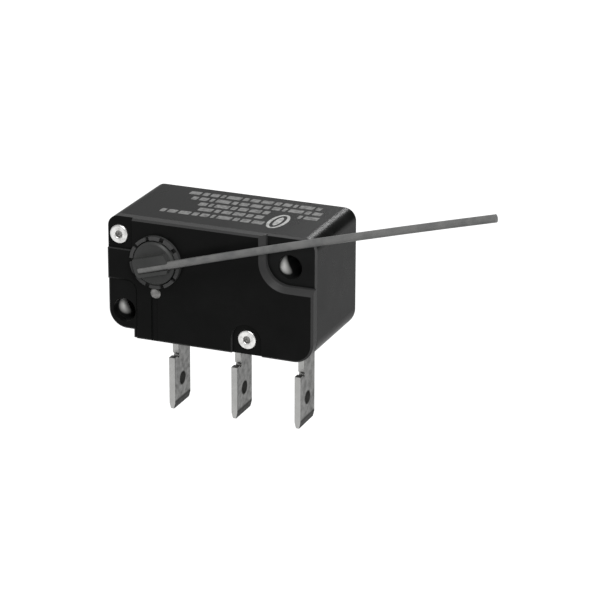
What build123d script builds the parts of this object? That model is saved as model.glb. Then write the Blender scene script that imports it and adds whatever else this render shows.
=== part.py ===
from build123d import *
import os
from math import cos, degrees, radians, sin

# Snap-action switch in a moulded case, worked by a side rotor with a long wire lever.
# Sizes are millimetres, first in the case frame: X from the left end, Y back from the
# cover's front face, Z up from the bottom face.  The finished pieces are moved so that
# the origin is the centre of the lower mounting hole on the rear seating face.

# Working values: how far fused pieces run into each other, and how far cuts run past a face
overlap = 0.1
past = 1.0

# Case
case_length = 27.8
case_height = 15.9
case_depth = 14.8
cover_thickness = 1.3
side_wall = 1.2
rear_wall = 1.4
top_left_radius = 1.4
top_right_radius = 1.6
bottom_right_radius = 2.6
bottom_left_radius = 2.4
foot_height = 1.1
foot_start = 3.4
edge_bevel = 0.25

# Mounting holes
hole_radius = 1.55
hole_x = 2.2
hole_z = 3.6
hole_right_inset = 3.5
hole_top_inset = 3.95

# Cover round the mounting holes: a shallow recess at the lower one, cut away at the upper one
lower_cut_side = 1.65
lower_cut_rise = 4.0
lower_cut_radius = 1.2
lower_cut_depth = 0.2
upper_cut_side = 3.0
upper_cut_drop = 2.35
upper_cut_radius = 3.0
upper_cut_bevel = 0.7
cover_seat = 0.5

# Rivets that close the case, and their pockets
rivet_radius = 0.75
rivet_head_radius = 1.25
rivet_head_height = 0.35
rivet_head_rounding = 0.25
rivet_dimple_radius = 0.45
rivet_dimple_depth = 0.6
rivet_dimple_rounding = 0.17
rivet_clearance = 0.03
rivet_boss_wall = 0.8
pocket_depth = 0.5
left_rivet_x = 1.6
left_rivet_drop = 2.35
left_pocket_reach = 1.9
lower_rivet_offset = 3.8
lower_rivet_z = 2.0
lower_pocket_radius = 2.05

# Rotor axis, bearings and shaft
axis_x = 6.85
axis_z = 10.75
journal_radius = 1.3
shaft_radius = 0.75
running_clearance = 0.05
bush_wall = 0.4
bush_flange_radius = 2.3
bush_flange_thickness = 0.3
rear_bush_length = 1.5
rear_boss_wall = 0.7
rear_boss_length = 1.2
square_size = 1.6
square_depth = 0.75
end_play = 0.15

# Hub, collar and wire lever
hub_radius = 2.8
hub_thickness = 0.95
collar_inner_radius = 2.95
collar_outer_radius = 3.4
collar_height = 0.75
collar_notches = 10
collar_notch_width = 0.55
clamp_tail = 2.3
clamp_nose = 2.55
clamp_top = 1.15
clamp_bottom = -1.3
clamp_height = 1.0
clamp_setback = 0.4
wire_radius = 0.5
wire_offset = 0.4
wire_tail = 1.8
wire_reach = 46.3
wire_bow = 0.5
wire_fit = 0.02
groove_opening = 0.84
lever_rise = 15.5

# Travel, stop finger and stop pin
rotor_travel = 25.0
stop_pin_radius = 0.7
stop_pin_reach = 4.25
stop_pin_angle = -92.7
stop_pin_proud = 0.15
stop_pin_bevel = 0.12
stop_pin_inner = 2.1
stop_gap = 0.05
finger_radius = 4.8
finger_half_width = 0.5
finger_thickness = 1.0
groove_width = 0.9
groove_depth = 0.25
groove_offset = 0.2

# Cam arm and plunger
cam_arm = 1.6
cam_nose_radius = 0.45
cam_thickness = 2.0
plunger_width = 1.0
plunger_depth = 2.0
contact_gap = 0.05
guide_clearance = 0.08
guide_lift = 0.45
guide_thickness = 0.8
guide_rim = 0.75

# Terminals
tab_width = 4.75
tab_thickness = 0.8
tab_front = 5.0
tab_tip = -11.0
tab_shoulder = -4.0
tab_hole_radius = 0.8
tab_hole_z = -7.5
tab_bevel = 0.2
tab_bevel_length = 0.8
tab_corner = 0.1
neck_setback = 1.2
relief_radius = 0.3
first_tab_x = 6.45
last_tab_inset = 4.0
bend_radius = 0.3
slot_clearance = 0.05

# Snap blade and contacts
blade_thickness = 0.25
blade_width = 3.0
blade_z = 8.0
blade_end_margin = 0.75
root_radius = 0.2
anchor_rise = 0.8
contact_x = 12.0
contact_radius = 0.9
contact_height = 0.5
contact_shank_radius = 0.4
contact_bevel = 0.1
shank_fit = 0.02
strip_overhang = 1.2
window_from_contact = 1.4
window_from_anchor = 1.2
window_width = 1.6
spring_thickness = 0.15
spring_width = 1.3
spring_seat_drop = 1.4
spring_seat_depth = 0.25
spring_seat_height = 0.5
spring_dip = 1.5
common_shelf_z = 4.6
closed_shelf_z = 6.9
closed_riser_gap = 0.2
anchor_spacing = 1.6

# Return spring, a spiral strip round the shaft
return_thickness = 0.1
return_width = 0.8
return_inner = 0.82
return_outer = 1.35
return_turns = 2.5
points_per_turn = 12
return_gap = 0.3
return_leg = 0.9
return_post_radius = 0.3

# Worked out from the sizes above: case and rivets
upper_hole_x = case_length - hole_right_inset
upper_hole_z = case_height - hole_top_inset
lower_cut_right = hole_x + lower_cut_side
lower_cut_top = hole_z + lower_cut_rise
upper_cut_left = upper_hole_x - upper_cut_side
upper_cut_bottom = upper_hole_z - upper_cut_drop
tab_pitch = (case_length - last_tab_inset - first_tab_x) / 2
left_rivet_z = case_height - left_rivet_drop
left_pocket_right = left_rivet_x + left_pocket_reach
left_pocket_bottom = left_rivet_z - left_pocket_reach
lower_rivet_x = first_tab_x + tab_pitch + lower_rivet_offset

# Worked out: terminals, blade and springs
closed_riser_x = upper_cut_left - cover_seat - closed_riser_gap - tab_thickness / 2
anchor_x = closed_riser_x - anchor_spacing
window_left = contact_x + window_from_contact
window_right = anchor_x - window_from_anchor
spring_seat_z = blade_z - spring_seat_drop
guide_bottom = blade_z + guide_lift

# Worked out: rotor, travel and contacts
mid_y = tab_front + neck_setback + (tab_width - neck_setback) / 2
tab_rear = tab_front + tab_width
neck_front = tab_front + neck_setback
cavity_rear = case_depth - rear_wall
bush_bore = journal_radius + running_clearance
bush_outer = bush_bore + bush_wall
rear_bush_bore = shaft_radius + running_clearance
rear_bush_outer = rear_bush_bore + bush_wall
hub_rear = -end_play
hub_front = hub_rear - hub_thickness
wire_y = hub_front - wire_radius - wire_fit
clamp_front = hub_front - clamp_height
bush_rear = cover_thickness + bush_flange_thickness
finger_front = bush_rear + end_play
finger_rear = finger_front + finger_thickness
half_travel = rotor_travel / 2
plunger_x = axis_x + cam_arm
plunger_travel = 2 * cam_arm * sin(radians(half_travel))
plunger_top = axis_z + cam_arm * sin(radians(half_travel)) - cam_nose_radius - contact_gap
plunger_bottom = blade_z + blade_thickness / 2 + contact_gap
root_x = anchor_x - tab_thickness / 2
blade_angle = degrees(plunger_travel / (root_x - plunger_x))
contact_drop = (root_x - contact_x + contact_radius) * sin(radians(blade_angle))
moving_top = blade_z + blade_thickness / 2 + contact_height
moving_bottom = blade_z - blade_thickness / 2 - contact_height
closed_strip_z = moving_top + contact_gap + contact_height + tab_thickness / 2
open_strip_z = moving_bottom - contact_drop - contact_gap - contact_height - tab_thickness / 2
pin_swing = degrees((stop_pin_radius + stop_gap + finger_half_width) / stop_pin_reach)
finger_angle = stop_pin_angle + rotor_travel + pin_swing
return_front = mid_y + cam_thickness / 2 + return_gap


def rod(radius, y0, y1, x=0.0, z=0.0):
    """A round bar along Y from y0 to y1."""
    return Pos(x, (y0 + y1) / 2, z) * Rot(90, 0, 0) * Cylinder(radius, y1 - y0)


def block(x0, x1, y0, y1, z0, z1):
    """A box between two corners."""
    centre = Pos((x0 + x1) / 2, (y0 + y1) / 2, (z0 + z1) / 2)
    return centre * Box(x1 - x0, y1 - y0, z1 - z0)


def rounded_face(corners):
    """A flat face from (x, z, radius) corners, each rounded by its own radius."""
    face = make_face(Polyline([(x, z) for x, z, radius in corners], close=True))
    for x, z, radius in corners:
        if radius > 0:
            face = fillet(face.vertices().sort_by_distance((x, z, 0))[0], radius)
    return face


def plate(face, y0, y1):
    """A face drawn in X and Z, made solid from y0 back to y1."""
    return extrude(Pos(0, y1, 0) * (Plane.XZ * face), amount=y1 - y0)


def bevelled(solid, y, size):
    """Bevel the outer edges of the face that lies in the plane at y."""
    face = solid.faces().filter_by(Axis.Y).group_by(lambda f: abs(f.center().Y - y))[0]
    edges = face.sort_by(SortBy.AREA)[-1].outer_wire().edges()
    return chamfer(edges, size)


def unit(a, b):
    """The direction from a to b, for runs along X or Z."""
    dx, dz = b[0] - a[0], b[1] - a[1]
    size = abs(dx) + abs(dz)
    return dx / size, dz / size


def strip_face(points):
    """The edge-on outline of a metal strip bent along points in X and Z."""
    half = tab_thickness / 2
    left, right = [], []
    last = len(points) - 1
    for i, (x, z) in enumerate(points):
        before = unit(points[max(i - 1, 0)], points[max(i, 1)])
        after = unit(points[min(i, last - 1)], points[min(i + 1, last)])
        turn = before[0] * after[1] - before[1] * after[0]
        nx, nz = -before[1], before[0]
        if turn:
            nx, nz = nx - after[1], nz + after[0]
        inner, outer = bend_radius, bend_radius + tab_thickness
        radii = (inner, outer) if turn > 0 else (outer, inner) if turn < 0 else (0, 0)
        left.append((x + half * nx, z + half * nz, radii[0]))
        right.append((x - half * nx, z - half * nz, radii[1]))
    return rounded_face(left + right[::-1])


def case_outline():
    """The case seen from the front, with the raised foot at the lower left."""
    return rounded_face([
        (0, foot_height, bottom_left_radius),
        (foot_start, foot_height, 0),
        (foot_start, 0, 0),
        (case_length, 0, bottom_right_radius),
        (case_length, case_height, top_right_radius),
        (0, case_height, top_left_radius),
    ])


def lower_cut(y0, y1):
    """The corner of the cover round the lower mounting hole."""
    return plate(rounded_face([
        (-past, -past, 0),
        (lower_cut_right, -past, 0),
        (lower_cut_right, lower_cut_top, lower_cut_radius),
        (-past, lower_cut_top, 0),
    ]), y0, y1)


def upper_corner(y, grow):
    """A face at y over the corner round the upper mounting hole, grown down and to the left."""
    left, bottom = upper_cut_left - grow, upper_cut_bottom - grow
    right, top = case_length + past, case_height + past
    return Pos(0, y, 0) * (Plane.XZ * rounded_face([
        (left, bottom, upper_cut_radius + grow),
        (right, bottom, 0),
        (right, top, 0),
        (left, top, 0),
    ]))


def upper_cut():
    """What is cut away round the upper mounting hole, with a wide bevel at the front."""
    straight = extrude(upper_corner(cover_thickness + past, 0), amount=cover_thickness + past)
    return straight + loft([upper_corner(-past, upper_cut_bevel + past),
                            upper_corner(upper_cut_bevel, 0)], ruled=True)


def rivet_pockets(y0, y1):
    """The two pockets that the rivet heads sit in, open to the case's edges."""
    left = block(-past, left_pocket_right, y0, y1, left_pocket_bottom, case_height + past)
    radius = lower_pocket_radius
    lower = rod(radius, y0, y1, lower_rivet_x, lower_rivet_z)
    lower += block(lower_rivet_x - radius, lower_rivet_x + radius, y0, y1, -past, lower_rivet_z)
    return left + lower


def rivet_centres():
    """Where the two rivets pass through the case."""
    return [("rivet_upper_left", left_rivet_x, left_rivet_z),
            ("rivet_lower", lower_rivet_x, lower_rivet_z)]


def tab_centres():
    """The X centre of each terminal."""
    return [first_tab_x + tab_pitch * i for i in range(3)]


def mounting_holes():
    """Both mounting holes, right through the case."""
    lower = rod(hole_radius, -past, case_depth + past, hole_x, hole_z)
    return lower + rod(hole_radius, -past, case_depth + past, upper_hole_x, upper_hole_z)


def base_housing():
    """The deep moulded case, open at the front, solid round the mounting holes."""
    body = plate(case_outline(), cover_thickness, case_depth)
    body = bevelled(body, case_depth, edge_bevel)
    body = bevelled(body, cover_thickness, edge_bevel)
    cavity = block(side_wall, case_length - side_wall, 0, cavity_rear,
                   side_wall, case_height - side_wall)
    cavity -= block(0, lower_cut_right + cover_seat, 0, case_depth, 0, lower_cut_top + cover_seat)
    cavity -= block(upper_cut_left - cover_seat, case_length, 0, case_depth,
                    upper_cut_bottom - cover_seat, case_height)
    for name, x, z in rivet_centres():
        cavity -= rod(rivet_radius + rivet_boss_wall, 0, case_depth, x, z)
    body -= cavity
    boss_front = cavity_rear - rear_boss_length
    body += rod(rear_bush_outer + rear_boss_wall, boss_front, cavity_rear + overlap, axis_x, axis_z)
    body -= rod(rear_bush_outer, 0, boss_front + rear_bush_length, axis_x, axis_z)
    body += plunger_guide()
    body += return_post()
    body -= mounting_holes()
    for name, x, z in rivet_centres():
        body -= rod(rivet_radius + rivet_clearance, 0, case_depth + past, x, z)
        body -= rod(rivet_head_radius + rivet_clearance, case_depth - rivet_head_height,
                    case_depth + past, x, z)
    slot = tab_thickness / 2 + slot_clearance
    for x in tab_centres():
        body -= block(x - slot, x + slot, 0, tab_rear + slot_clearance, -past, side_wall + overlap)
    return body


def plunger_guide():
    """A shelf from the rear wall with the slot that the plunger slides in."""
    half_x = plunger_width / 2 + guide_clearance
    half_y = plunger_depth / 2 + guide_clearance
    top = guide_bottom + guide_thickness
    shelf = block(plunger_x - half_x - guide_rim, plunger_x + half_x + guide_rim,
                  mid_y - half_y - guide_rim, cavity_rear + overlap, guide_bottom, top)
    return shelf - block(plunger_x - half_x, plunger_x + half_x, mid_y - half_y, mid_y + half_y,
                         guide_bottom - past, top + past)


def front_cover():
    """The cover plate with its recesses, hub collar and terminal tongues."""
    body = plate(case_outline(), 0, cover_thickness) - lower_cut(-past, case_depth)
    body = bevelled(body, 0, edge_bevel)
    seat = bevelled(plate(case_outline(), lower_cut_depth, cover_thickness),
                    lower_cut_depth, edge_bevel)
    body += seat & lower_cut(0, case_depth)
    body -= upper_cut() + mounting_holes()
    body -= rivet_pockets(-past, pocket_depth)
    for name, x, z in rivet_centres():
        body -= rod(rivet_radius + rivet_clearance, -past, case_depth, x, z)
    body += hub_collar()
    body -= rod(bush_outer, -past, case_depth, axis_x, axis_z)
    body += rest_stop()
    pin_x, pin_z = finger_end(stop_pin_angle)
    body -= rod(stop_pin_radius + shank_fit, -past, case_depth, pin_x, pin_z)
    groove_right = pin_x - groove_offset + groove_width / 2
    body -= block(groove_right - groove_width, groove_right, -past, groove_depth,
                  -past, pin_z - stop_pin_radius)
    half = tab_thickness / 2
    for x in tab_centres():
        body += block(x - half, x + half, cover_thickness - overlap, neck_front - slot_clearance,
                      0, side_wall)
    return body


def hub_collar():
    """A low ring round the hub, with notches cut in its rim."""
    ring = rod(collar_outer_radius, -collar_height, overlap, axis_x, axis_z)
    ring -= rod(collar_inner_radius, -collar_height - past, past, axis_x, axis_z)
    for i in range(collar_notches):
        turn = Pos(axis_x, 0, axis_z) * Rot(0, 360 / collar_notches * i, 0)
        ring -= turn * block(0, collar_outer_radius + past, -collar_height - past,
                             -collar_height / 2, -collar_notch_width / 2, collar_notch_width / 2)
    return ring


def finger_end(angle):
    """The middle of the stop finger's end when the finger points at an angle."""
    reach = stop_pin_reach
    return axis_x + reach * cos(radians(angle)), axis_z + reach * sin(radians(angle))


def rest_stop():
    """A small post behind the cover that the stop finger rests on."""
    x, z = finger_end(finger_angle + pin_swing)
    return rod(stop_pin_radius, cover_thickness - overlap, finger_rear, x, z)


def rivet(x, z):
    """A rivet with a flat head behind the case and its rolled, dimpled end in the cover."""
    body = rod(rivet_radius, pocket_depth, case_depth, x, z)
    body += rod(rivet_head_radius, case_depth - rivet_head_height, case_depth, x, z)
    head = rod(rivet_head_radius, pocket_depth - rivet_head_height, pocket_depth, x, z)
    rim = head.edges().filter_by(GeomType.CIRCLE).sort_by(Axis.Y)[0]
    body += fillet(rim, rivet_head_rounding)
    dimple_end = pocket_depth - rivet_head_height + rivet_dimple_depth
    body -= rod(rivet_dimple_radius, -past, dimple_end, x, z)
    mouth = body.edges().filter_by(GeomType.CIRCLE).group_by(Axis.Y)[0].sort_by(SortBy.RADIUS)[0]
    return fillet(mouth, rivet_dimple_rounding)


def front_bush():
    """The flanged bush in the cover that the rotor's journal turns in."""
    body = rod(bush_outer, 0, cover_thickness, axis_x, axis_z)
    body += rod(bush_flange_radius, cover_thickness, bush_rear, axis_x, axis_z)
    return body - rod(bush_bore, -past, bush_rear + past, axis_x, axis_z)


def rear_bush():
    """The plain bush in the rear wall for the shaft's end."""
    start = cavity_rear - rear_boss_length
    body = rod(rear_bush_outer, start, start + rear_bush_length, axis_x, axis_z)
    return body - rod(rear_bush_bore, 0, case_depth, axis_x, axis_z)


def arm(angle, reach, half_width, y0, y1):
    """A round-ended arm out of the rotor axis."""
    x = axis_x + reach * cos(radians(angle))
    z = axis_z + reach * sin(radians(angle))
    end = rod(half_width, y0, y1, x, z)
    web = Pos(axis_x, 0, axis_z) * Rot(0, -angle, 0)
    web = web * block(0, reach, y0, y1, -half_width, half_width)
    return web + end


def rotor_shaft():
    """The turned and moulded shaft: square front end, journal, stop finger and cam arm."""
    end = cavity_rear - rear_boss_length + rear_bush_length - end_play
    body = rod(shaft_radius, finger_front, end, axis_x, axis_z)
    body += rod(journal_radius, hub_rear + contact_gap, finger_rear, axis_x, axis_z)
    body += arm(finger_angle, finger_radius - finger_half_width, finger_half_width,
                finger_front, finger_rear)
    body += arm(half_travel, cam_arm, cam_nose_radius,
                mid_y - cam_thickness / 2, mid_y + cam_thickness / 2)
    square = Pos(axis_x, 0, axis_z) * Rot(0, -lever_rise, 0)
    half = square_size / 2
    return body + square * block(-half, half, hub_rear - square_depth, finger_front, -half, half)


def to_axis(solid):
    """Turn a piece drawn with the lever along +X to its rest angle on the rotor axis."""
    return Pos(axis_x, 0, axis_z) * Rot(0, -lever_rise, 0) * solid


def wire_path():
    """The lever's centre line, a very slight bow from tail to tip."""
    middle = (wire_reach - wire_tail) / 2
    return ThreePointArc((-wire_tail, wire_y, -wire_offset),
                         (middle, wire_y, -wire_offset + wire_bow / 2),
                         (wire_reach, wire_y, -wire_offset))


def lever_hub():
    """The disc outside the case, with the clamp block that grips the wire."""
    body = rod(hub_radius, hub_front, hub_rear)
    body = chamfer(body.edges().filter_by(GeomType.CIRCLE).sort_by(Axis.Y)[0], edge_bevel)
    clamp = block(-clamp_tail, clamp_nose, clamp_front, hub_front + overlap,
                  clamp_bottom, clamp_top)
    body += clamp & rod(hub_radius - clamp_setback, clamp_front, hub_rear)
    path = wire_path()
    groove = sweep(Plane(origin=path @ 0, z_dir=path % 0) * Circle(wire_radius + wire_fit), path=path)
    body -= groove
    half = groove_opening / 2
    body -= block(-wire_tail, hub_radius, clamp_front - past, wire_y,
                  -wire_offset - half, -wire_offset + half)
    half = square_size / 2 + shank_fit
    body -= block(-half, half, hub_rear - square_depth - shank_fit, hub_rear + past, -half, half)
    return to_axis(body)


def wire_lever():
    """The long round wire, cut square at its tip."""
    path = wire_path()
    section = Plane(origin=path @ 0, z_dir=path % 0) * Circle(wire_radius)
    return to_axis(sweep(section, path=path))


def stop_pin():
    """The steel pin pressed through the cover."""
    x, z = finger_end(stop_pin_angle)
    body = rod(stop_pin_radius, -stop_pin_proud, cover_thickness + stop_pin_inner, x, z)
    return chamfer(body.edges().filter_by(GeomType.CIRCLE).sort_by(Axis.Y)[0], stop_pin_bevel)


def cross_hole(radius, x, y, z):
    """A round hole along X through a terminal."""
    return Pos(x, y, z) * Rot(0, 90, 0) * Cylinder(radius, tab_thickness * 2)


def terminal(points):
    """A bent strip inside the case that ends in a wider tab below it, with a wedge tip."""
    x = points[0][0]
    half = tab_thickness / 2
    body = plate(strip_face([(x, tab_shoulder)] + points[1:]), neck_front, tab_rear)
    tab = block(x - half, x + half, tab_front, tab_rear, tab_tip, tab_shoulder)
    tab = chamfer(tab.edges().filter_by(Axis.X).group_by(Axis.Z)[0], tab_corner)
    tip = [(x + half, tab_tip + tab_bevel_length), (x + half - tab_bevel, tab_tip),
           (x - half + tab_bevel, tab_tip), (x - half, tab_tip + tab_bevel_length)]
    wedge = make_face(Polyline([(x - half, tab_shoulder), (x + half, tab_shoulder)] + tip, close=True))
    body += tab & plate(wedge, tab_front, tab_rear)
    body -= cross_hole(relief_radius, x, neck_front, tab_shoulder)
    return body - cross_hole(tab_hole_radius, x, (tab_front + tab_rear) / 2, tab_hole_z)


def shank_hole(z):
    """The hole in a strip for the shank of its contact."""
    return Pos(contact_x, mid_y, z) * Cylinder(contact_shank_radius + shank_fit, tab_thickness * 2)


def terminal_common():
    """The middle terminal, bent up at its inner end into the blade's anchor."""
    x = tab_centres()[1]
    top = blade_z + anchor_rise
    body = terminal([(x, 0), (x, common_shelf_z), (anchor_x, common_shelf_z), (anchor_x, top)])
    body -= rod(root_radius + contact_gap, 0, case_depth, root_x, blade_z)
    seat = root_x + spring_seat_depth
    return body - block(root_x - past, seat, 0, case_depth, spring_seat_z - spring_seat_height,
                        spring_seat_z + spring_seat_height)


def terminal_normally_open():
    """The left terminal, reaching under the moving contact."""
    x = tab_centres()[0]
    end = contact_x + strip_overhang
    return terminal([(x, 0), (x, open_strip_z), (end, open_strip_z)]) - shank_hole(open_strip_z)


def terminal_normally_closed():
    """The right terminal, led round the blade's anchor to reach over the moving contact."""
    x = tab_centres()[2]
    end = contact_x - strip_overhang
    points = [(x, 0), (x, closed_shelf_z), (closed_riser_x, closed_shelf_z),
              (closed_riser_x, closed_strip_z), (end, closed_strip_z)]
    return terminal(points) - shank_hole(closed_strip_z)


def contact_head(z, up):
    """A contact disc with a bevelled working face, its back at z."""
    side = 1 if up else -1
    body = Pos(contact_x, mid_y, z + side * contact_height / 2) * Cylinder(contact_radius, contact_height)
    rims = body.edges().filter_by(GeomType.CIRCLE).sort_by(Axis.Z)
    return chamfer(rims[-1] if up else rims[0], contact_bevel)


def fixed_contact(strip_z, up):
    """A fixed contact, riveted through its terminal strip, which is centred at strip_z."""
    back = strip_z + (tab_thickness if up else -tab_thickness) / 2
    shank = Pos(contact_x, mid_y, strip_z) * Cylinder(contact_shank_radius, tab_thickness)
    return contact_head(back, up) + shank


def moving_contact():
    """The double-faced contact riveted through the blade."""
    half = blade_thickness / 2
    shank = Pos(contact_x, mid_y, blade_z) * Cylinder(contact_shank_radius, blade_thickness)
    return contact_head(blade_z + half, True) + contact_head(blade_z - half, False) + shank


def snap_blade():
    """The thin blade, hooked in the anchor at its rolled root."""
    half = blade_thickness / 2
    wide = blade_width / 2
    end = plunger_x - blade_end_margin
    body = block(end, root_x, mid_y - wide, mid_y + wide, blade_z - half, blade_z + half)
    body += rod(root_radius, mid_y - wide, mid_y + wide, root_x, blade_z)
    body -= block(window_left, window_right, mid_y - window_width / 2, mid_y + window_width / 2,
                  blade_z - past, blade_z + past)
    return body - Pos(contact_x, mid_y, blade_z) * Cylinder(contact_shank_radius + shank_fit, past)


def tension_spring():
    """The bowed leaf that pushes the blade over, from the blade's window to the anchor."""
    half = spring_thickness / 2
    start = (window_left + contact_gap + half, mid_y, blade_z)
    stop = (root_x + spring_seat_depth - contact_gap - half, mid_y, spring_seat_z)
    middle = ((start[0] + stop[0]) / 2, mid_y, spring_seat_z - spring_dip / 2)
    path = ThreePointArc(start, middle, stop)
    section = Plane(origin=start, z_dir=path % 0, x_dir=(0, 1, 0))
    return sweep(section * Rectangle(spring_width, spring_thickness), path=path)


def plunger():
    """The round-ended slide between the cam nose and the blade."""
    radius = plunger_width / 2
    y0, y1 = mid_y - plunger_depth / 2, mid_y + plunger_depth / 2
    body = block(plunger_x - radius, plunger_x + radius, y0, y1,
                 plunger_bottom + radius, plunger_top - radius)
    body += rod(radius, y0, y1, plunger_x, plunger_top - radius)
    return body + rod(radius, y0, y1, plunger_x, plunger_bottom + radius)


def spiral(start_radius):
    """Points on the spring's spiral in X and Z, as it grows outward from a start radius."""
    steps = round(return_turns * points_per_turn)
    points = []
    for i in range(steps + 1):
        angle = radians(360 * i / points_per_turn)
        radius = start_radius + (return_outer - return_inner) * i / steps
        points.append((axis_x + radius * cos(angle), axis_z + radius * sin(angle)))
    return points


def return_spring():
    """The spiral spring from the shaft out to its post on the case."""
    inside = spiral(return_inner)
    outside = spiral(return_inner + return_thickness)
    face = make_face([Spline(inside), Spline(outside),
                      Line(inside[0], outside[0]), Line(inside[-1], outside[-1])])
    rear = return_front + return_width
    tip = axis_x - return_outer
    leg = block(tip - return_leg, tip - return_thickness / 2, return_front, rear,
                axis_z - return_thickness, axis_z)
    return plate(face, return_front, rear) + leg


def return_post():
    """The post on the rear wall that holds the spiral spring's outer end."""
    x = axis_x - return_outer - return_leg + return_post_radius
    z = axis_z + return_post_radius + contact_gap
    return rod(return_post_radius, return_front, cavity_rear + overlap, x, z)


def pieces():
    """Every piece in the case frame, by name."""
    made = {
        "base_housing": base_housing(),
        "front_cover": front_cover(),
        "front_bush": front_bush(),
        "rear_bush": rear_bush(),
        "rotor_shaft": rotor_shaft(),
        "lever_hub": lever_hub(),
        "wire_lever": wire_lever(),
        "stop_pin": stop_pin(),
        "terminal_common": terminal_common(),
        "terminal_normally_open": terminal_normally_open(),
        "terminal_normally_closed": terminal_normally_closed(),
        "contact_normally_open": fixed_contact(open_strip_z, True),
        "contact_normally_closed": fixed_contact(closed_strip_z, False),
        "moving_contact": moving_contact(),
        "snap_blade": snap_blade(),
        "tension_spring": tension_spring(),
        "plunger": plunger(),
        "return_spring": return_spring(),
    }
    for name, x, z in rivet_centres():
        made[name] = rivet(x, z)
    return made


os.makedirs("parts", exist_ok=True)
to_origin = Pos(-hole_x, -case_depth, -hole_z)
for name, solid in pieces().items():
    export_step(to_origin * solid, f"parts/{name}.step")

print("rotor axis", axis_x - hole_x, axis_z - hole_z)
print("blade root", root_x - hole_x, blade_z - hole_z)
print("plunger travel", round(plunger_travel, 4), "blade angle", round(blade_angle, 4))
print("plunger ratio", plunger_travel / 1000 / radians(rotor_travel))
print("blade ratio", blade_angle / rotor_travel)
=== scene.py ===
from math import cos, pi, radians, sin

import bmesh
import bpy
from mathutils import Matrix, Vector


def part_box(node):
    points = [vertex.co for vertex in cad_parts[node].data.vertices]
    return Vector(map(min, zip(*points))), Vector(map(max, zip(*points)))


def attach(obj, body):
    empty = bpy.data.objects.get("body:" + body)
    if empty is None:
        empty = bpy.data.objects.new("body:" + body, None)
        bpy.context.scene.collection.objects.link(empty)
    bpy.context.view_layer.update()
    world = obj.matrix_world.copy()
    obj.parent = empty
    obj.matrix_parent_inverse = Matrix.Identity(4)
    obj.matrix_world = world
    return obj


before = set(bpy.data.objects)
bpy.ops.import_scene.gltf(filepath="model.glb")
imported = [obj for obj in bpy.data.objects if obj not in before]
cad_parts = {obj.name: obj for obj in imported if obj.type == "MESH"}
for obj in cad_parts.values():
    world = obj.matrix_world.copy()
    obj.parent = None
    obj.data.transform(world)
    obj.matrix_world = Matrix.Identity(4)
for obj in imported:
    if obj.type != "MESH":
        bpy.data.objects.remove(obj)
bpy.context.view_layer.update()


# The housing is a deep black moulding in glass-filled plastic.  The spark-eroded tool leaves a
# fine even grain with a faint cloudiness.  The bevels get a paler painted highlight, and so
# does the left wall of each mounting hole near the front, where it shows as a light spot.
mm = 0.001
housing_black = (0.0046, 0.0048, 0.0047, 1)
housing_cloud = (0.0072, 0.0074, 0.0073, 1)
housing_roughness = 0.3
black_reflectance = 0.05
flow_size = 4.5 * mm
grain_size = 0.11 * mm
grain_depth = 0.012 * mm
grain_strength = 0.35
corner_softness = 0.09 * mm
# painted highlight: a paler colour laid on the housing's bevels
painted_edge_highlight = (0.05, 0.05, 0.05, 1)
# painted highlight: a pale spot laid on the left wall of each mounting hole, near the front
painted_bore_highlight = (0.85, 0.85, 0.83, 1)
bore_centres = [Vector((0, 0, 0)), Vector((22.1, 0, 8.35)) * mm]
bore_reach = 1.62 * mm
painted_spot_from_bore = Vector((-1.4, -11.8, -0.45)) * mm
painted_spot_reach = 1.4 * mm
along_y = (1, 0, 1)


def shader_node(tree, kind, inputs=(), **settings):
    """Add a shader node, with its settings and its (socket, value or output) pairs."""
    made = tree.nodes.new("ShaderNode" + kind)
    for key, value in settings.items():
        setattr(made, key, value)
    for socket, value in inputs:
        if isinstance(value, bpy.types.NodeSocket):
            tree.links.new(value, made.inputs[socket])
        else:
            made.inputs[socket].default_value = value
    return made


def new_finish(name):
    """An empty finish, with its tree and its surface shader."""
    finish = bpy.data.materials.new(name)
    finish.use_nodes = True
    return finish, finish.node_tree, finish.node_tree.nodes["Principled BSDF"]


def place_on_piece(tree):
    """The place on the piece that the finish is given to."""
    return shader_node(tree, "TexCoord").outputs["Object"]


def speckle(tree, place, size, detail=2.0, roughness=0.5):
    """Soft random patches about as large as size, from 0 to 1."""
    noise = shader_node(tree, "TexNoise", [("Vector", place), ("Scale", 1 / size),
                                           ("Detail", detail), ("Roughness", roughness)])
    return noise.outputs["Fac"]


def between(tree, share, low, high, start=0.3, end=0.7):
    """A number from low to high as the share goes from start to end."""
    made = shader_node(tree, "MapRange", [("Value", share), ("From Min", start), ("From Max", end),
                                          ("To Min", low), ("To Max", high)])
    return made.outputs["Result"]


def tint(tree, share, low, high, start=0.3, end=0.7):
    """A colour from low to high as the share goes from start to end."""
    ramp = shader_node(tree, "ValToRGB", [("Fac", share)])
    stops = ramp.color_ramp.elements
    stops[0].position, stops[0].color = start, low
    stops[1].position, stops[1].color = end, high
    return ramp.outputs["Color"]


def relief(tree, height, depth, strength, softness):
    """A bumped surface direction over softened edges."""
    soft = shader_node(tree, "Bevel", [("Radius", softness)], samples=6)
    bump = shader_node(tree, "Bump", [("Height", height), ("Distance", depth), ("Strength", strength),
                                      ("Normal", soft.outputs["Normal"])])
    return bump.outputs["Normal"]


def both(tree, one, other):
    """A share that is full only where two shares are."""
    return shader_node(tree, "Math", [(0, one), (1, other)], operation="MULTIPLY").outputs[0]


def facing(tree, axis, start, end):
    """A share that rises from 0 to 1 as faces turn towards plus or minus an axis."""
    normal = shader_node(tree, "TexCoord").outputs["Normal"]
    part = shader_node(tree, "SeparateXYZ", [(0, normal)]).outputs[axis]
    turned = shader_node(tree, "Math", [(0, part)], operation="ABSOLUTE").outputs[0]
    return between(tree, turned, 0, 1, start, end)


def on_bevels(tree):
    """A share that is 1 on the narrow bevels round the front and the back."""
    return both(tree, facing(tree, "Y", 0.3, 0.6), facing(tree, "Y", 0.98, 0.85))


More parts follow.
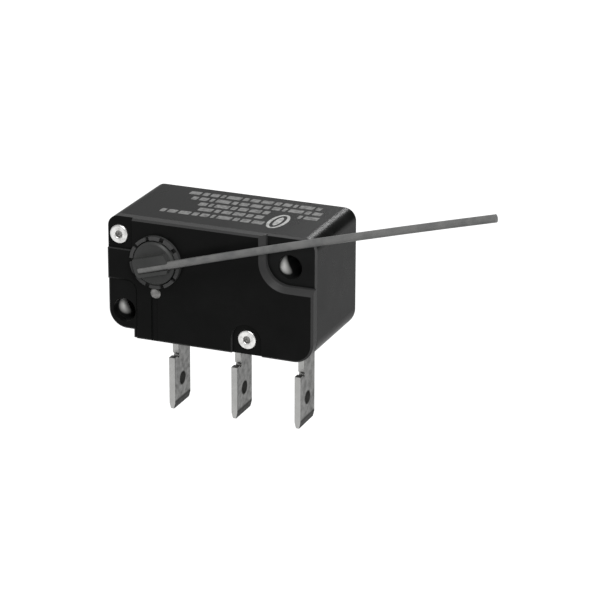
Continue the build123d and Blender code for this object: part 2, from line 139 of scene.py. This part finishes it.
def near_points(tree, points, reach, core=0.1, keep=(1, 1, 1)):
    """A share that rises to 1 at any of a few points, or lines along the axes not kept."""
    place = shader_node(tree, "VectorMath", [(0, place_on_piece(tree)), (1, keep)], operation="MULTIPLY")
    nearest = None
    for point in points:
        away = shader_node(tree, "VectorMath", [(0, place.outputs[0]), (1, point)],
                           operation="DISTANCE").outputs["Value"]
        if nearest:
            away = shader_node(tree, "Math", [(0, nearest), (1, away)], operation="MINIMUM").outputs[0]
        nearest = away
    return between(tree, nearest, 1, 0, core * reach, reach)


def lay_over(tree, share, colour):
    """Lay another colour over a finish by a share."""
    surface = tree.nodes["Principled BSDF"].inputs["Base Color"]
    under = surface.links[0].from_socket
    mixed = shader_node(tree, "Mix", [(0, share), (6, under), (7, colour)], data_type="RGBA")
    tree.links.new(mixed.outputs[2], surface)


def moulded_plastic(name, dark, cloud, roughness, reflectance):
    """Moulded plastic with a fine grain and flow clouds."""
    finish, tree, surface = new_finish(name)
    place = place_on_piece(tree)
    flow = speckle(tree, place, flow_size, detail=3.0, roughness=0.62)
    grain = speckle(tree, place, grain_size, detail=2.0, roughness=0.55)
    tree.links.new(tint(tree, flow, dark, cloud), surface.inputs["Base Color"])
    tree.links.new(between(tree, flow, roughness - 0.04, roughness + 0.05), surface.inputs["Roughness"])
    tree.links.new(relief(tree, grain, grain_depth, grain_strength, corner_softness),
                   surface.inputs["Normal"])
    surface.inputs["Specular IOR Level"].default_value = reflectance
    return finish


def housing_finish():
    """The housing's plastic, with painted highlights on the bevels and on a spot in each mounting hole.
    """
    finish = moulded_plastic("housing_plastic", housing_black, housing_cloud, housing_roughness,
                             black_reflectance)
    tree = finish.node_tree
    bore_walls = near_points(tree, bore_centres, bore_reach, 0.98, along_y)
    painted_spots = near_points(tree, [centre + painted_spot_from_bore for centre in bore_centres], painted_spot_reach)
    # painted highlight on the bevels
    lay_over(tree, on_bevels(tree), painted_edge_highlight)
    # painted highlight on a spot in each mounting hole
    lay_over(tree, both(tree, painted_spots, bore_walls), painted_bore_highlight)
    return finish


def give(finish, *names):
    """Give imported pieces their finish."""
    for name in names:
        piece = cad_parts[name]
        if not piece.material_slots:
            piece.data.materials.append(finish)
        for slot in piece.material_slots:
            slot.material = finish


give(housing_finish(), "base_housing")


# The cover is a flat plate of the same plastic that closes the front.  The walls of its edges
# and cuts get a paler painted highlight, except round the lower left corner, and so do the tips
# of the notched collar round the rotor.
cover_black = (0.003, 0.0031, 0.003, 1)
cover_cloud = (0.0046, 0.0047, 0.0046, 1)
cover_roughness = 0.33
# painted highlight: a paler colour laid on the cover's walls, left out round the lower left corner
painted_wall_highlight = (0.03, 0.03, 0.03, 1)
highlight_gap_centre = Vector((3.0, 0, -2.0)) * mm
highlight_gap_reach = 7.5 * mm
# painted highlight: a paler colour laid on the tips of the collar
painted_collar_highlight = (0.045, 0.045, 0.045, 1)
collar_tip = 0.2 * mm


def along(tree, axis):
    """How far along an axis each place on the piece is."""
    return shader_node(tree, "SeparateXYZ", [(0, place_on_piece(tree))]).outputs[axis]


def cover_finish():
    """The cover's plastic, with painted highlights on its walls and on the tips of the collar."""
    finish = moulded_plastic("cover_plastic", cover_black, cover_cloud, cover_roughness,
                             black_reflectance)
    tree = finish.node_tree
    highlight_gap = near_points(tree, [highlight_gap_centre], highlight_gap_reach, 0.9, along_y)
    elsewhere = between(tree, highlight_gap, 1, 0, 0, 1)
    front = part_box("front_cover")[0].y
    collar = between(tree, along(tree, "Y"), 1, 0, front + collar_tip, front + 2 * collar_tip)
    # painted highlight on the walls
    lay_over(tree, both(tree, facing(tree, "Y", 0.98, 0.8), elsewhere), painted_wall_highlight)
    # painted highlight on the collar tips
    lay_over(tree, collar, painted_collar_highlight)
    return finish


give(cover_finish(), "front_cover")


# The case is printed on top in pale ink, pad-printed straight onto the grain.  Here the print
# is plain: rows of short bars, and an upright oval ring round a smaller oval.  Each row has its
# start, its place across and its end, in millimetres from the case's left and front edges.
case_depth = 14.8 * mm
ink_grey = (0.15, 0.15, 0.148, 1)
ink_worn = (0.06, 0.06, 0.059, 1)
ink_thickness = 0.012 * mm
ink_wear = 0.5 * mm
bar_height = 1.2 * mm
bar_gap = 0.32 * mm
bar_rounding = 0.16 * mm
bar_lengths = (1.5, 0.8, 1.1, 0.5, 1.9, 0.7, 1.2)
rows = ((5.9, 11.9, 23.8), (7.0, 10.0, 24.4), (8.8, 8.1, 18.4), (22.3, 8.1, 24.2), (9.6, 6.2, 18.6),
        (5.3, 4.2, 18.4))
oval_grey = (0.32, 0.32, 0.315, 1)
oval_worn = (0.16, 0.16, 0.157, 1)
oval_place = (20.7 * mm, 6.1 * mm)
oval_wide, oval_long = 1.2 * mm, 2.7 * mm
oval_ring = 0.42 * mm
core_wide, core_long = 0.42 * mm, 1.6 * mm
ink_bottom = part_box("base_housing")[1].z - ink_thickness
ink_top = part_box("base_housing")[1].z + ink_thickness


def on_top(x, y):
    """A place on the case's top, measured from its left and front edges."""
    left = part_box("base_housing")[0].x
    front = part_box("base_housing")[1].y - case_depth
    return left + x, front + y


def rounded_bar(x0, y0, x1, y1, radius, steps=4):
    """The outline of a bar with round corners."""
    points = []
    for cx, cy, start in ((x1 - radius, y0 + radius, -90), (x1 - radius, y1 - radius, 0),
                          (x0 + radius, y1 - radius, 90), (x0 + radius, y0 + radius, 180)):
        for i in range(steps + 1):
            angle = radians(start + 90 * i / steps)
            points.append((cx + radius * cos(angle), cy + radius * sin(angle)))
    return points


def ellipse(cx, cy, wide, long, sides=64):
    """The outline of an oval with half its width and half its length."""
    return [(cx + wide * cos(2 * pi * i / sides), cy + long * sin(2 * pi * i / sides))
            for i in range(sides)]


def raise_outline(mesh, points):
    """A thin closed slab of ink over an outline."""
    bottom = [mesh.verts.new((x, y, ink_bottom)) for x, y in points]
    top = [mesh.verts.new((x, y, ink_top)) for x, y in points]
    mesh.faces.new(bottom[::-1])
    mesh.faces.new(top)
    for i in range(len(points)):
        j = (i + 1) % len(points)
        mesh.faces.new((bottom[i], bottom[j], top[j], top[i]))


def raise_ring(mesh, outer, inner):
    """A thin closed ring of ink between two outlines."""
    corners = ((outer, ink_bottom), (outer, ink_top), (inner, ink_top), (inner, ink_bottom))
    loops = [[mesh.verts.new((x, y, z)) for x, y in points] for points, z in corners]
    for i in range(len(outer)):
        j = (i + 1) % len(outer)
        for a, b in zip(loops, loops[1:] + loops[:1]):
            mesh.faces.new((a[i], a[j], b[j], b[i]))


def printed_bars():
    """The rows of short bars, each row starting one further in the list of lengths."""
    mesh = bmesh.new()
    for row, (start, across, stop) in enumerate(rows):
        x = start * mm
        count = row
        while x < stop * mm:
            length = bar_lengths[count % len(bar_lengths)] * mm
            left, front = on_top(x, across * mm)
            back = front + bar_height
            raise_outline(mesh, rounded_bar(left, front, left + length, back, bar_rounding))
            x += length + bar_gap
            count += 1
    return mesh


def printed_oval():
    """The oval ring and the smaller oval inside it."""
    mesh = bmesh.new()
    cx, cy = on_top(*oval_place)
    raise_outline(mesh, ellipse(cx, cy, core_wide, core_long))
    raise_ring(mesh, ellipse(cx, cy, oval_wide, oval_long),
               ellipse(cx, cy, oval_wide - oval_ring, oval_long - oval_ring))
    return mesh


def printed_ink(name, full, worn):
    """Matt grey ink, thin enough that the grain shows through in places."""
    finish, tree, surface = new_finish(name)
    wear = speckle(tree, place_on_piece(tree), ink_wear, detail=4.0, roughness=0.65)
    tree.links.new(tint(tree, wear, worn, full, 0.32, 0.55), surface.inputs["Base Color"])
    tree.links.new(between(tree, wear, 0.7, 0.55), surface.inputs["Roughness"])
    surface.inputs["Specular IOR Level"].default_value = 0.2
    return finish


def new_piece(name, mesh, finish, body):
    """Turn a finished mesh into a flat-faced piece that rides on a body."""
    bmesh.ops.recalc_face_normals(mesh, faces=mesh.faces)
    data = bpy.data.meshes.new(name)
    mesh.to_mesh(data)
    mesh.free()
    data.materials.append(finish)
    piece = bpy.data.objects.new(name, data)
    bpy.context.scene.collection.objects.link(piece)
    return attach(piece, body)


bar_ink = printed_ink("bar_ink", ink_grey, ink_worn)
oval_ink = printed_ink("oval_ink", oval_grey, oval_worn)
new_piece("printed_bars", printed_bars(), bar_ink, "case")
new_piece("printed_oval", printed_oval(), oval_ink, "case")


# Two rivets hold the cover on the housing.  They are nickel-plated brass, rolled over at the
# front round a dimple, and painted shade makes each dimple darker than its bright rim.
nickel = (0.88, 0.875, 0.86, 1)
nickel_dull = (0.56, 0.555, 0.545, 1)
nickel_patch = 0.6 * mm
# painted shade: a darker colour laid in each rivet's dimple
painted_dimple_shade = (0.25, 0.247, 0.24, 1)
dimple_radius = 0.48 * mm
line_width = 0.05 * mm
line_depth = 0.004 * mm
metal_softness = 0.05 * mm


def plated_metal(name, bright, dull, roughness, patch, stretch=(1, 1, 1), scratch=0.4, metallic=1.0):
    """Plated metal with dull patches and fine drawn or rolled lines."""
    finish, tree, surface = new_finish(name)
    place = place_on_piece(tree)
    tarnish = speckle(tree, place, patch, detail=4.0, roughness=0.6)
    stretched = shader_node(tree, "Mapping", [("Vector", place), ("Scale", stretch)]).outputs["Vector"]
    lines = speckle(tree, stretched, line_width)
    tree.links.new(tint(tree, tarnish, dull, bright, 0.3, 0.6), surface.inputs["Base Color"])
    tree.links.new(between(tree, tarnish, roughness + 0.1, roughness - 0.05), surface.inputs["Roughness"])
    tree.links.new(relief(tree, lines, line_depth, scratch, metal_softness), surface.inputs["Normal"])
    surface.inputs["Metallic"].default_value = metallic
    return finish


def rivet_finish():
    """Nickel plate, with painted shade in the dimple of each rivet."""
    finish = plated_metal("nickel_plate", nickel, nickel_dull, 0.28, nickel_patch)
    middles = [sum(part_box(name), Vector()) / 2 for name in ("rivet_upper_left", "rivet_lower")]
    dimples = [Vector((middle.x, 0, middle.z)) for middle in middles]
    tree = finish.node_tree
    # painted shade in the dimples
    lay_over(tree, near_points(tree, dimples, dimple_radius, 0.8, along_y), painted_dimple_shade)
    return finish


give(rivet_finish(), "rivet_upper_left", "rivet_lower")


# The stop pin is a short turned steel pin pressed through the cover below the rotor.  Only its
# flat end shows, faintly lined by the lathe.
pin_bright = (0.26, 0.255, 0.25, 1)
pin_dull = (0.14, 0.14, 0.135, 1)
pin_patch = 0.4 * mm
give(plated_metal("turned_steel", pin_bright, pin_dull, 0.38, pin_patch), "stop_pin")


# The three terminals are stamped from brass strip and tin plated.  The rolled faces are dull
# and faintly lined along the strip, and the sheared edges are brighter.  The coined tips and
# the punched holes get painted shade: dark, and not metallic.
tin_rolled = (0.24, 0.24, 0.235, 1)
tin_dull = (0.13, 0.13, 0.127, 1)
tin_sheared = (0.47, 0.47, 0.46, 1)
tin_patch = 0.9 * mm
rolled_lines = (1, 1, 0.08)
# painted shade: a dark colour laid on the terminal tips and in the punched holes
painted_tip_and_hole_shade = (0.03, 0.03, 0.029, 1)
bare_reflectance = 0.05
tab_hole = Vector((0, -7.425, -11.1)) * mm
hole_reach = 1.0 * mm
tip_height = 1.25 * mm
along_x = (0, 1, 1)


def either(tree, one, other):
    """A share that is full where one of two shares is."""
    return shader_node(tree, "Math", [(0, one), (1, other)], operation="MAXIMUM").outputs[0]


def terminal_finish():
    """Tin plate with bright sheared edges, and painted shade on the tips and in the holes."""
    finish = plated_metal("tin_plate", tin_rolled, tin_dull, 0.42, tin_patch, rolled_lines, scratch=0.5)
    tree = finish.node_tree
    tab_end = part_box("terminal_common")[0].z
    low = between(tree, along(tree, "Z"), 1, 0, tab_end + 0.8 * tip_height, tab_end + tip_height)
    tip = both(tree, low, facing(tree, "X", 0.6, 0.8))
    painted_shade_share = either(tree, tip, near_points(tree, [tab_hole], hole_reach, 0.85, along_x))
    lay_over(tree, facing(tree, "Y", 0.6, 0.8), tin_sheared)
    # painted shade: the tips and the holes turn dark and not metallic
    lay_over(tree, painted_shade_share, painted_tip_and_hole_shade)
    surface = tree.nodes["Principled BSDF"]
    tree.links.new(between(tree, painted_shade_share, 1, 0, 0, 1), surface.inputs["Metallic"])
    surface.inputs["Specular IOR Level"].default_value = bare_reflectance
    return finish


give(terminal_finish(), "terminal_common", "terminal_normally_open", "terminal_normally_closed")


# The rotor's hub and shaft are moulded in a slightly paler satin black, with a raised block on
# the hub that clamps the wire.  The shaft turns in two ivory bushes, one in the cover and one
# in the rear wall.
rotor_black = (0.023, 0.0235, 0.023, 1)
rotor_cloud = (0.037, 0.0377, 0.037, 1)
bush_ivory = (0.5, 0.49, 0.45, 1)
bush_cloud = (0.42, 0.41, 0.37, 1)
give(moulded_plastic("rotor_plastic", rotor_black, rotor_cloud, 0.45, 0.2), "lever_hub", "rotor_shaft")
give(moulded_plastic("bush_plastic", bush_cloud, bush_ivory, 0.5, 0.4), "front_bush", "rear_bush")


# The lever is a length of hard drawn steel wire with a dark phosphate finish, pressed into
# the hub's groove.  It is very slightly bowed and its ends are cut square and deburred.
wire_dark = (0.072, 0.0735, 0.0735, 1)
wire_worn = (0.11, 0.11, 0.108, 1)
wire_patch = 1.5 * mm
drawn_lines = (0.05, 1, 1)
give(plated_metal("phosphated_wire", wire_worn, wire_dark, 0.36, wire_patch, drawn_lines, metallic=0.1),
     "wire_lever")


# Inside are a copper-alloy snap blade with silver contacts, a bowed steel tension leaf, a
# moulded plunger and the spiral spring that brings the rotor back.
silver, silver_tarnish = (0.86, 0.85, 0.82, 1), (0.7, 0.68, 0.64, 1)
blade_copper, blade_dull = (0.75, 0.47, 0.3, 1), (0.6, 0.36, 0.22, 1)
spring_grey, spring_dull = (0.55, 0.55, 0.54, 1), (0.4, 0.4, 0.39, 1)
plunger_cream, plunger_cloud = (0.6, 0.57, 0.48, 1), (0.66, 0.63, 0.54, 1)
give(plated_metal("contact_silver", silver, silver_tarnish, 0.3, 0.5 * mm),
     "moving_contact", "contact_normally_open", "contact_normally_closed")
give(plated_metal("blade_alloy", blade_copper, blade_dull, 0.32, 1.0 * mm), "snap_blade")
give(plated_metal("spring_steel", spring_grey, spring_dull, 0.3, 0.8 * mm),
     "tension_spring", "return_spring")
give(moulded_plastic("plunger_plastic", plunger_cream, plunger_cloud, 0.5, 0.4), "plunger")


# The studio has a wide pale floor under the terminals and an even white surround.  The camera
# sees both at full white, and they light the object less than that.
floor_drop = 60 * mm
floor_size = 6.0
floor_white = (0.25, 0.25, 0.25, 1)
floor_glow = 0.85
floor_reflected = 0.75
surround_white = (1, 1, 1, 1)
surround_light = 0.5
surround_reflected = 0.15


def seen_directly(tree, reflected):
    """One for the camera and through glass, less in a reflection, and nought for other light."""
    path = shader_node(tree, "LightPath").outputs
    mirrored = both(tree, path["Is Glossy Ray"], reflected)
    return either(tree, either(tree, path["Is Camera Ray"], mirrored), path["Is Transmission Ray"])


def stage_plane(name, half_width, half_height, finish):
    """A flat rectangle that belongs to the studio."""
    data = bpy.data.meshes.new(name)
    data.from_pydata([(-half_width, -half_height, 0), (half_width, -half_height, 0),
                      (half_width, half_height, 0), (-half_width, half_height, 0)], [], [(0, 1, 2, 3)])
    data.materials.append(finish)
    plane = bpy.data.objects.new(name, data)
    bpy.context.scene.collection.objects.link(plane)
    return plane


def floor_paper():
    """Matt paper that glows for the camera, so that it turns white and keeps its shadow."""
    finish, tree, surface = new_finish("floor_paper")
    tree.nodes.remove(surface)
    paper = shader_node(tree, "BsdfDiffuse", [("Color", floor_white)])
    glow = both(tree, seen_directly(tree, floor_reflected), floor_glow)
    lift = shader_node(tree, "Emission", [("Strength", glow)])
    total = shader_node(tree, "AddShader", [(0, paper.outputs[0]), (1, lift.outputs[0])])
    tree.links.new(total.outputs[0], tree.nodes["Material Output"].inputs["Surface"])
    return finish


floor = stage_plane("floor", floor_size / 2, floor_size / 2, floor_paper())
floor.location.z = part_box("terminal_common")[0].z - floor_drop
surround = bpy.data.worlds.new("white_surround")
surround.use_nodes = True
bpy.context.scene.world = surround
strength = between(surround.node_tree, seen_directly(surround.node_tree, surround_reflected),
                   surround_light, 1, 0, 1)
background = surround.node_tree.nodes["Background"]
background.inputs["Color"].default_value = surround_white
surround.node_tree.links.new(strength, background.inputs["Strength"])


# A large soft box hangs high on the right, a strip behind picks out the top edges, and a small
# one fills the front.  A black flag behind on the right shows in the rounded corner, which
# stays dark there as black plastic does.
middle = Vector((0.012, -0.007, 0.002))
main_place = Vector((0.2, -0.3, 0.56))
strip_place = Vector((-0.05, 0.53, 0.32))
front_place = Vector((0.28, -0.4, 0.2))
flag_place = middle + Vector((0.196, 0.441, 0.129))
flag_half_width, flag_half_height = 0.18, 0.17
velvet_black = (0.003, 0.003, 0.003, 1)


def aim(thing, place, target):
    """Put a lamp, a flag or the camera at a place, looking at a target."""
    turn = (target - place).to_track_quat("-Z", "Y").to_matrix().to_4x4()
    thing.matrix_world = Matrix.Translation(place) @ turn


def soft_box(name, place, width, height, power, mirrored=True):
    """A rectangular soft lamp, left out of reflections where it would glare on the top."""
    lamp = bpy.data.lights.new(name, "AREA")
    lamp.shape, lamp.size, lamp.size_y, lamp.energy = "RECTANGLE", width, height, power
    box = bpy.data.objects.new(name, lamp)
    bpy.context.scene.collection.objects.link(box)
    box.visible_glossy = mirrored
    aim(box, place, middle)


soft_box("main_soft_box", main_place, width=0.3, height=0.25, power=3.0)
soft_box("strip_soft_box", strip_place, width=0.22, height=0.05, power=1.1)
soft_box("front_soft_box", front_place, width=0.14, height=0.14, power=1.9, mirrored=False)

velvet, _, velvet_surface = new_finish("black_velvet")
velvet_surface.inputs["Base Color"].default_value = velvet_black
flag = stage_plane("black_flag", flag_half_width, flag_half_height, velvet)
flag.visible_camera = False
flag.visible_diffuse = False
flag.visible_shadow = False
aim(flag, flag_place, middle)


# The camera stands to the right of the front and above it, far enough away to see the case
# nearly without perspective.
camera_place = Vector((149.2, -321.74, 126.76)) * mm
camera_target = Vector((21.9, -9.8, 2.8)) * mm
camera_roll = radians(0.2)
focal_length, sensor_width = 173.3, 36
nearest_seen, farthest_seen = 0.01, 20
camera = bpy.data.objects.new("camera", bpy.data.cameras.new("camera"))
camera.data.lens, camera.data.sensor_width = focal_length, sensor_width
camera.data.clip_start, camera.data.clip_end = nearest_seen, farthest_seen
bpy.context.scene.collection.objects.link(camera)
aim(camera, camera_place, camera_target)
camera.matrix_world = camera.matrix_world @ Matrix.Rotation(camera_roll, 4, "Z")
bpy.context.scene.camera = camera
bpy.context.scene.view_settings.view_transform = "Standard"
